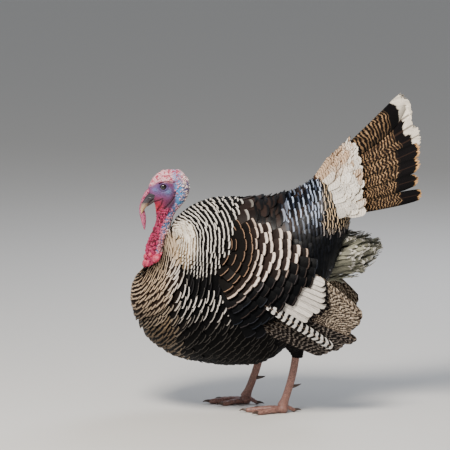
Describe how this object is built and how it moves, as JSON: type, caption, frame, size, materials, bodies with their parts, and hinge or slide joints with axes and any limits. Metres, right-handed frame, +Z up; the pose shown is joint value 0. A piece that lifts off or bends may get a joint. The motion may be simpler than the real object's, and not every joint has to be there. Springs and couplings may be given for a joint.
{
  "type": "wild turkey",
  "caption": "Life-size still model of an adult male wild turkey standing in a half strut, tail raised and part fanned, wings drooped, head up.",
  "frame": {"origin": "on the floor, at the middle of the bottom of the bird's bounding box", "axes": "+Z up, -X the way the bird faces, -Y its left side"},
  "size_m": [0.718, 0.4084, 0.787],
  "materials": {
    "face_skin": "bare skin of the head, whitish pink on the crown and blue round the eye",
    "bill_horn": "pale horn, darker at the root",
    "snood_skin": "soft mauve pink skin",
    "eye": "dark brown, wet",
    "neck_skin": "warty crimson skin with white and blue beads",
    "caruncle_skin": "smooth pink red knobs",
    "mantle_feathers": "cream feathers with black bars",
    "breast_feathers": "black feathers with buff and grey white edges",
    "belly_feathers": "soft black feathers",
    "back_feathers": "slate black feathers with a blue and bronze gloss",
    "wing_covert_feathers": "black and bronze feathers with pale bars",
    "wing_bar_feathers": "cream white feathers with thin dark shafts",
    "flight_feathers": "stiff feathers barred in brown, grey and white",
    "tail_feathers": "stiff brown feathers with a black band and a pale tip",
    "tail_covert_feathers": "cream feathers with dark bars",
    "undertail_feathers": "loose grey white feathers",
    "leg_scales": "brown scaled skin",
    "claw_horn": "dark horn"
  },
  "bodies": {
    "root": {"mantle": "mantle_feathers", "breast": "breast_feathers", "back": "back_feathers", "belly": "belly_feathers", "rump": "back_feathers", "head": "face_skin", "eye_right": "eye", "eye_left": "eye", "bill_upper": "bill_horn", "bill_lower": "bill_horn", "snood": "snood_skin", "neck": "neck_skin", "dewlap": "neck_skin", "caruncles": "caruncle_skin", "tail_left_outer": "tail_feathers", "tail_left_inner": "tail_feathers", "tail_right_inner": "tail_feathers", "tail_right_outer": "tail_feathers", "tail_coverts_left": "tail_covert_feathers", "tail_coverts_right": "tail_covert_feathers", "undertail_coverts": "undertail_feathers", "wing_left_coverts": "wing_covert_feathers", "wing_right_coverts": "wing_covert_feathers", "wing_left_bar": "wing_bar_feathers", "wing_right_bar": "wing_bar_feathers", "wing_left_secondaries": "flight_feathers", "wing_right_secondaries": "flight_feathers", "wing_left_primaries": "flight_feathers", "wing_right_primaries": "flight_feathers", "thigh_left": "belly_feathers", "shank_left": "leg_scales", "foot_left": "leg_scales", "spur_left": "claw_horn", "toe_left_middle": "leg_scales", "claw_left_middle": "claw_horn", "toe_left_inner": "leg_scales", "claw_left_inner": "claw_horn", "toe_left_outer": "leg_scales", "claw_left_outer": "claw_horn", "toe_left_rear": "leg_scales", "claw_left_rear": "claw_horn", "shank_right": "leg_scales", "foot_right": "leg_scales", "spur_right": "claw_horn", "toe_right_middle": "leg_scales", "claw_right_middle": "claw_horn", "toe_right_inner": "leg_scales", "claw_right_inner": "claw_horn", "toe_right_outer": "leg_scales", "claw_right_outer": "claw_horn", "toe_right_rear": "leg_scales", "claw_right_rear": "claw_horn"}
  },
  "joints": []
}
